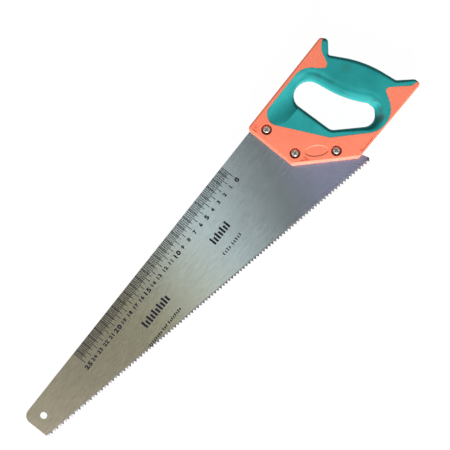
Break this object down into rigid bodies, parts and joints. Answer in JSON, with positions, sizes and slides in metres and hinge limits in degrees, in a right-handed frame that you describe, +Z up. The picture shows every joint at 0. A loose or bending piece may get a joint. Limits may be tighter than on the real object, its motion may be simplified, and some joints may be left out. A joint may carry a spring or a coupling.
{
  "type": "hand saw",
  "caption": "Panel hand saw: tapered toothed steel blade clamped by screws in a closed two-material handle with 90 and 45 degree marking edges.",
  "frame": {"origin": "centre of the saw's bounding box, on the surface the saw lies on (lowest point of the grip's palm swell)", "axes": "+X along the blade's back from toe to handle, +Y from the teeth to the blade's back, +Z up through the blade's thickness as the saw lies on its side"},
  "size_m": [0.531, 0.1194, 0.03],
  "materials": {
    "blade_steel": "fine grain brushed along the blade, thin clear lacquer",
    "hard_plastic": "orange moulded plastic, fine satin texture",
    "soft_rubber": "matt teal overmoulded soft grip",
    "zinc_screw": "zinc plated, slightly yellow",
    "washer_steel": "dark spring steel",
    "nut_steel": "zinc plated"
  },
  "bodies": {
    "root": {"blade": "blade_steel", "handle_core": "hard_plastic", "soft_grip": "soft_rubber", "blade_screw_1": "zinc_screw", "blade_screw_2": "zinc_screw", "blade_screw_3": "zinc_screw", "lock_washer_1": "washer_steel", "lock_washer_2": "washer_steel", "lock_washer_3": "washer_steel", "sleeve_nut_1": "nut_steel", "sleeve_nut_2": "nut_steel", "sleeve_nut_3": "nut_steel"}
  },
  "joints": []
}
